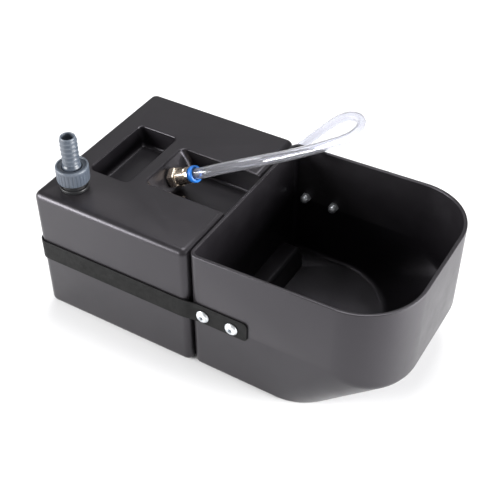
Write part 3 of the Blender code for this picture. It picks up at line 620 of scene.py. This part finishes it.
def slab(name, low_x, high_x, half_y, low_z, high_z):
    """A plain block, used as a cutter."""
    rings = [[(low_x, -half_y, z), (high_x, -half_y, z), (high_x, half_y, z), (low_x, half_y, z)]
             for z in (low_z, high_z)]
    return loft(name, rings, None)


def ledge_block():
    """The cross ledge, with a rounded top edge and rounded ends."""
    rear = BOWL_LOW.x + 0.002
    front = BOWL_LOW.x + LEDGE_DEEP
    face = [(front + 0.0050, 0.002), (front + 0.0045, 0.006), (front - 0.0005, LEDGE_HIGH),
            (rear, LEDGE_HIGH)]
    side = [(rear, 0.002)] + rounded_profile(face, 0.0045, 6)
    rings = []
    drops = [0.012 * (1 - sin(radians(15 * k))) for k in range(7)]
    spans = [(-LEDGE_HALF + 0.006 * (1 - cos(radians(15 * k))), drops[k]) for k in range(7)]
    spans += [(-y, drop) for y, drop in reversed(spans)]
    for y, drop in spans:
        ring = []
        for k, (x, z) in enumerate(side):
            ring.append((x - (drop * 0.3 if x > rear else 0.0), y, min(z, LEDGE_HIGH - drop) + 0.00002 * k))
        rings.append(ring)
    return loft("ledge", rings, None)


# ---------------------------------------------------------------- strap and fasteners
def screw_spot(side, number):
    """Where one strap screw's axis crosses the wall, as (x, z)."""
    low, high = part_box(f"strap_screw_{SIDE_WORDS[side]}_{number}")
    return (low.x + high.x) / 2, (low.z + high.z) / 2


def bolt_drills(name):
    """One cutter for each strap screw's hole."""
    places = [(side, screw_spot(side, number)) for side in SIDE_WORDS for number in (1, 2)]
    return [turned(name, cylinder(BOLT_HOLE_R, 0.090, 0.118), None, along((x, 0, z), (0, side, 0)), 48)
            for side, (x, z) in places]


def strap_height(y):
    """Middle of the strap: one height on each side, changing evenly across the tank's back."""
    share = min(1.0, max(0.0, y / (TANK_HIGH.y - TANK_LOW.y - 0.020) + 0.5))
    return STRAP_Z[-1] * (1 - share) + STRAP_Z[1] * share


def strap_route():
    """Middle line of the strap in plan: near leg, round the tank's back, far leg as its mirror."""
    half_thick = STRAP_THICK / 2
    end = STRAP_HIGH.x
    on_bowl = -(BOWL_HIGH.y + GAP + half_thick)
    on_tank = STRAP_LOW.y + half_thick
    back = STRAP_LOW.x + half_thick
    bend = 0.0095
    step = TANK_HIGH.x
    route = [(end - STRAP_END_ROUND * (1 - cos(radians(15 * k))), on_bowl) for k in range(7)]
    route += [(end - 0.020, on_bowl), (step + 0.030, on_bowl)]
    for k in range(9):
        t = k / 8
        route.append((step + 0.013 - 0.024 * t, on_bowl + (on_tank - on_bowl) * t * t * (3 - 2 * t)))
    route += [(step - 0.06 - 0.02 * k, on_tank) for k in range(4)]
    for k in range(13):
        a = radians(7.5 * k)
        route.append((back + bend * (1 - sin(a)), on_tank + bend * (1 - cos(a))))
    across = [(back, on_tank * k / 9) for k in range(8, -9, -1)]
    return route + across + [(x, -y) for x, y in reversed(route)]


def strap_band():
    half_thick = STRAP_THICK / 2
    end = STRAP_HIGH.x
    route = strap_route()
    rings = []
    for k, (x, y) in enumerate(route):
        ahead = route[min(k + 1, len(route) - 1)]
        behind = route[max(k - 1, 0)]
        run = hypot(ahead[0] - behind[0], ahead[1] - behind[1])
        side = ((ahead[1] - behind[1]) / run, (behind[0] - ahead[0]) / run)
        reach = max(0.0, STRAP_END_ROUND - (end - x))
        half = STRAP_WIDE / 2 - STRAP_END_ROUND + (STRAP_END_ROUND ** 2 - reach ** 2) ** 0.5
        middle = strap_height(y)
        rings.append([(x + s * side[0] * half_thick, y + s * side[1] * half_thick, middle + h * half)
                      for s, h in strap_section()])
    band = loft("strap_band", rings, "strap_black", smooth=40)
    carve(band, [(drill, "DIFFERENCE") for drill in bolt_drills("strap_hole")])
    shade(band, 40)
    stand_for(band, "trough", "strap")


def strap_section():
    """Unit cross-section: thickness runs -1..1, width -1..1, with rounded long edges."""
    corner = [(1.0, 0.96), (0.9, 0.985), (0.7, 1.0), (-0.7, 1.0), (-0.9, 0.985), (-1.0, 0.96)]
    top = [(1.0, 0.90), *corner, (-1.0, 0.90)]
    return top + [(-s, -h) for s, h in top]


def hex_ring(radius, height):
    """Hexagon of that corner radius, with a point at each corner and each flat's middle."""
    ring = []
    for k in range(12):
        a = radians(30 * k)
        r = radius * (cos(radians(30)) if k % 2 else 1.0)
        ring.append((r * cos(a), r * sin(a), height))
    return ring


def truss_screw(name, spot, side):
    """Truss-head screw with a hexagon socket and its plain shank inside the wall."""
    x, z = spot
    outside = BOWL_HIGH.y + 2 * GAP + STRAP_THICK
    place = along((x, side * outside, z), (0, side, 0))
    head = rounded_profile([(0.0030, 0.0), (0.0072, 0.0), (0.0072, 0.0007), (0.0058, 0.0024),
                            (0.0030, 0.0034), (0.0, 0.0035)], 0.0008, 4)
    profile = [(0.0, -0.0145), (0.0024, -0.0145), (0.0030, -0.0139)] + head
    screw = turned(name, profile, "zinc", place, 64, 40)
    socket = loft("socket", [hex_ring(0.0026, 0.0004), hex_ring(0.0026, 0.0060)], None, place)
    carve(screw, [(socket, "DIFFERENCE")])
    shade(screw, 35)
    return screw


def dome_nut(name, spot, side):
    """Cap nut on the inner face of the wall: a hexagon under a hollow dome."""
    x, z = spot
    place = along((x, side * (BOWL_HIGH.y - WALL - GAP), z), (0, -side, 0))
    dome = [(0.0047 * cos(radians(a)), 0.0050 + 0.0051 * sin(radians(a))) for a in range(0, 90, 10)]
    profile = [(BOLT_HOLE_R, 0.0), (0.0050, 0.0), (0.0050, 0.0044), *dome, (0.0, 0.0101), (0.0, 0.0088),
               (BOLT_HOLE_R, 0.0082)]
    cap = turned(name, profile, "zinc", place, 48, 50)
    rim = loft("nut_hexagon", [hex_ring(0.0054, 0.0), hex_ring(0.0058, 0.0005), hex_ring(0.0058, 0.0038),
                               hex_ring(0.0053, 0.0044)], None, place)
    bore = turned("nut_bore", cylinder(BOLT_HOLE_R, -0.001, 0.0080), None, place, 24)
    carve(cap, [(rim, "UNION"), (bore, "DIFFERENCE")])
    shade(cap, 30)
    return cap


def fasteners():
    for side, word in SIDE_WORDS.items():
        for number in (1, 2):
            spot = screw_spot(side, number)
            node = f"{word}_{number}"
            stand_for(truss_screw(f"screw_{node}", spot, side), "trough", f"strap_screw_{node}")
            stand_for(dome_nut(f"cap_nut_{node}", spot, side), "trough", f"dome_nut_{node}")


# ---------------------------------------------------------------- hose connection
def at_inlet():
    return Matrix.Translation((INLET_X, INLET_Y, 0.0))


def thread_rings(low, high, outer, depth, pitch):
    """Saw-toothed rings that read as a screw thread."""
    profile = []
    z = low
    while z + pitch <= high:
        profile += [(outer - depth, z), (outer, z + 0.4 * pitch), (outer, z + 0.6 * pitch)]
        z += pitch
    return profile + [(outer - depth, z)]


def hose_connection():
    ring_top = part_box("inlet_ring_nut")[1].z
    union_low = UNION_LOW.z
    collar = rounded_profile([(THREAD_R + 0.0001, TANK_HIGH.z + GAP), (0.0150, TANK_HIGH.z + GAP),
                              (0.0150, ring_top), (THREAD_R + 0.0001, ring_top)], 0.0008)
    ring = turned("ring_nut", collar, "black_plastic", at_inlet(), 72)
    stand_for(ring, "trough", "inlet_ring_nut")
    low, high = ring_top + 0.0001, union_low - 0.0001
    threads = [(0.0120, low), *thread_rings(low, high, THREAD_R, 0.0009, 0.0018), (0.0120, high)]
    thread = turned("shank_thread", threads, "black_plastic", at_inlet(), 72)
    trim(thread, "trough")
    hose_tail()
    union_nut()


def hose_tail():
    """Flange and neck under the union nut, then six barbs."""
    profile = [(0.0064, 0.1740), (0.0123, 0.1740), (0.0123, 0.1772), (0.0098, 0.1772), (0.0098, 0.1815)]
    profile += [(0.0094, 0.1828), (0.0084, 0.1838)]
    for k in range(6):
        low = FIRST_BARB_Z + k * BARB_PITCH
        profile += [(0.0080, low - 0.0002), (0.0090, low + 0.0003), (0.0091, low + 0.0009),
                    (0.0088, low + 0.0020), (0.0081, low + BARB_PITCH - 0.0012)]
    profile += [(0.0081, TAIL_TOP - 0.0012), (0.0077, TAIL_TOP - 0.0003), (0.0072, TAIL_TOP),
                (0.0067, TAIL_TOP - 0.0002), (0.0064, TAIL_TOP - 0.0010)]
    tail = turned("barbed_tail", profile, "grey_pvc", at_inlet(), 72, 50)
    stand_for(tail, "trough", "hose_tail")


def union_nut():
    """Ribbed skirt, plain upper band, dished top with a fine raised lip."""
    low, high = UNION_LOW.z, UNION_HIGH.z
    inner = THREAD_R + GAP
    levels = [(inner, low, 0.0), (0.0160, low, 0.0), (0.0166, low + 0.0004, 0.2),
              (0.0170, low + 0.0012, 0.6), (0.0171, low + 0.0022, 1.0), (0.0171, high - 0.0042, 1.0),
              (0.0171, high - 0.0034, 0.4), (0.0171, high - 0.0030, 0.0), (0.0171, high - 0.0012, 0.0),
              (0.0168, high - 0.0004, 0.0), (0.0162, high, 0.0), (0.0150, high, 0.0),
              (0.0146, high - 0.0003, 0.0), (0.0144, high - 0.0010, 0.0), (0.0126, high - 0.0014, 0.0),
              (0.0110, high - 0.0015, 0.0), (0.0107, high - 0.0019, 0.0), (0.0107, high - 0.0044, 0.0),
              (inner, high - 0.0044, 0.0)]
    rings = []
    for radius, z, depth in levels:
        ring = []
        for k in range(8 * UNION_RIBS):
            groove = max(0.0, cos(2 * pi * k / 8) - 0.2) / 0.8
            r = radius - RIB_DEPTH * depth * groove
            a = 2 * pi * k / (8 * UNION_RIBS)
            ring.append((r * cos(a), r * sin(a), z))
        rings.append(ring)
    nut = loft("grip_nut", rings, "grey_pvc", at_inlet(), 45, capped=False)
    stand_for(nut, "nut", "union_nut")


# ---------------------------------------------------------------- push-in fitting
def on_fitting(step=0.0):
    return along(FITTING_POINT + FITTING_AXIS * step, FITTING_AXIS)


def fitting():
    body = [(0.0040, -0.0130), (0.0078, -0.0130), (0.0081, -0.0126), (0.0081, 0.0019), (0.0092, 0.0019),
            (0.0092, 0.0112), (0.0086, 0.0116), (0.0086, 0.0122), (0.0090, 0.0126), (0.0090, 0.0232),
            (0.0086, 0.0237), (0.0086, 0.0245), (0.0091, 0.0250), (0.0091, 0.0289), (0.0088, 0.0297),
            (0.0078, 0.0298), (0.0077, 0.0142), (0.0040, 0.0142)]
    shell = turned("fitting_shell", body, "nickel", on_fitting(), 72, 30)
    hexagon = loft("hexagon", [hex_ring(0.0107, 0.0019), hex_ring(0.0117, 0.0026), hex_ring(0.0117, 0.0098),
                               hex_ring(0.0107, 0.0107)], None, on_fitting())
    carve(shell, [(hexagon, "UNION"), (turned("bore", cylinder(0.0077, 0.0143, 0.04), None, on_fitting()),
                                       "DIFFERENCE")])
    shade(shell, 30)
    stand_for(shell, "trough", "fitting_body")
    collar = [(0.0063, -0.0168), (0.0072, -0.0168), (0.0072, -0.0046)]
    collar += rounded_profile([(0.0076, -0.0046), (0.0093, -0.0046), (0.0093, -0.0012), (0.0084, 0.0),
                               (0.0070, 0.0), (0.0064, -0.0008)], 0.0008)
    ring = turned("push_collar", collar, "blue", on_fitting(FITTING_FACE), 72, 35)
    stand_for(ring, "collar", "release_collar")


# ---------------------------------------------------------------- clear tube
def smooth_route(points, step):
    points = [Vector(p) for p in points]
    padded = [2 * points[0] - points[1]] + points + [2 * points[-1] - points[-2]]
    out = []
    for k in range(len(points) - 1):
        a, b, c, d = padded[k:k + 4]
        count = max(1, round((c - b).length / step))
        for j in range(count):
            t = j / count
            bend = (2 * a - 5 * b + 4 * c - d) * t * t + (3 * b - a - 3 * c + d) * t * t * t
            out.append((2 * b + (c - a) * t + bend) / 2)
    return out + [points[-1]]


def coil_points():
    """Two clockwise turns: down on to the upper turn, round, down to the lower turn, round."""
    start, fall, low = -50.0, 60.0, TUBE_R + 0.00005
    layer = 2 * TUBE_R + 0.0001
    points = []
    for turned_by in range(0, 716, 5):
        first = min(1.0, turned_by / fall)
        second = min(1.0, max(0.0, (turned_by - 360) / fall))
        drop = sum(t * t * (3 - 2 * t) for t in (first, second))
        a = radians(start - turned_by)
        height = low + layer * (2 - drop)
        points.append(COIL_CENTRE + Vector((COIL_TURN_R * cos(a), COIL_TURN_R * sin(a), height)))
    return points


def sweep(name, path, outer, inner, sides, finish):
    """Pipe along a path, with frames carried along without twist."""
    last = len(path) - 1
    tangents = [(path[min(k + 1, last)] - path[max(k - 1, 0)]).normalized() for k in range(last + 1)]
    side = tangents[0].orthogonal().normalized()
    rings_out, rings_in = [], []
    for point, tangent in zip(path, tangents):
        side = (side - tangent * side.dot(tangent)).normalized()
        other = tangent.cross(side)
        turns = [side * cos(2 * pi * k / sides) + other * sin(2 * pi * k / sides) for k in range(sides)]
        rings_out.append([point + t * outer for t in turns])
        rings_in.append([point + t * inner for t in turns])
    return loft(name, rings_out + rings_in[::-1], finish, None, 60, capped=False)


def clear_tube():
    inside = [FITTING_POINT + FITTING_AXIS * step for step in (0.0145, 0.0255, FITTING_FACE)]
    coil = coil_points()
    path = smooth_route(inside + list(TUBE_ROUTE) + coil[:1], 0.005) + coil[1:]
    length = sum((b - a).length for a, b in zip(path, path[1:]))
    tube = sweep("clear_hose", path, TUBE_R, TUBE_BORE_R, 32, "clear")
    ties = [coil_tie(number, angle) for number, angle in enumerate((20.0, 200.0), 1)]
    stand_for(tube, "trough", "clear_tube", "tube_coil")


def coil_tie(number, angle):
    """Narrow band round both turns of the coil."""
    a = radians(angle)
    layer = 4 * TUBE_R + 0.0001
    middle = COIL_CENTRE + Vector((COIL_TURN_R * cos(a), COIL_TURN_R * sin(a), layer / 2))
    outward = Vector((cos(a), sin(a), 0))
    along_turn = Vector((-sin(a), cos(a), 0))
    half = layer / 2 - TUBE_R
    inner = TUBE_R + 0.0001
    outer = inner + TIE_THICK
    loop = []
    for k in range(32):
        b = 2 * pi * k / 32
        lift = half if sin(b) >= 0 else -half
        loop.append((cos(b), sin(b), lift))
    rings = []
    for reach, across in ((inner, -TIE_HALF_WIDTH), (outer, -TIE_HALF_WIDTH), (outer, TIE_HALF_WIDTH),
                          (inner, TIE_HALF_WIDTH)):
        rings.append([middle + outward * c * reach + Vector((0, 0, max(s * reach + lift, 0.0002 - middle.z)))
                      + along_turn * across for c, s, lift in loop])
    tie = loft(f"coil_tie_{number}", rings, "black_plastic", capped=False)
    trim(tie, "trough")
    return tie


# ---------------------------------------------------------------- carried-over CAD pieces
def dress_cad():
    for name, node in NODES.items():
        node.data.materials.clear()
        node.data.materials.append(FINISH[SLOT_OF[name]])


# ---------------------------------------------------------------- stage
def area_light(name, place, target, size_x, size_y, power):
    data = bpy.data.lights.new(name, "AREA")
    data.shape = "RECTANGLE"
    data.size = size_x
    data.size_y = size_y
    data.energy = power
    light = bpy.data.objects.new(name, data)
    bpy.context.scene.collection.objects.link(light)
    light.location = place
    light.rotation_euler = (Vector(target) - Vector(place)).to_track_quat("-Z", "Y").to_euler()


def stage():
    bm = bmesh.new()
    bmesh.ops.create_grid(bm, x_segments=1, y_segments=1, size=6.0)
    floor = add_mesh("floor", bm, None)
    floor.data.materials.append(floor_finish())
    world = bpy.data.worlds.new("studio")
    world.use_nodes = True
    sky = world.node_tree.nodes["Background"]
    sky.inputs["Color"].default_value = (1.0, 1.0, 1.0, 1.0)
    sky.inputs["Strength"].default_value = SKY_STRENGTH
    bpy.context.scene.world = world
    bpy.context.scene.view_settings.view_transform = "Standard"
    for light in LIGHTS:
        area_light(*light)


def camera():
    right = Vector((cos(CAMERA_AZIMUTH), sin(CAMERA_AZIMUTH), 0))
    back = Vector((sin(CAMERA_AZIMUTH) * cos(CAMERA_ELEVATION), -cos(CAMERA_AZIMUTH) * cos(CAMERA_ELEVATION),
                   sin(CAMERA_ELEVATION)))
    up = back.cross(right)
    data = bpy.data.cameras.new("camera")
    data.lens = CAMERA_LENS
    data.sensor_width = 36.0
    view = bpy.data.objects.new("camera", data)
    bpy.context.scene.collection.objects.link(view)
    turn = Matrix((right, up, back)).transposed().to_4x4()
    view.matrix_world = Matrix.Translation(CAMERA_AT) @ turn
    bpy.context.scene.camera = view


camera()
dress_cad()
clear_tube()
tank_body()
bowl_body()
strap_band()
fasteners()
hose_connection()
fitting()
stage()
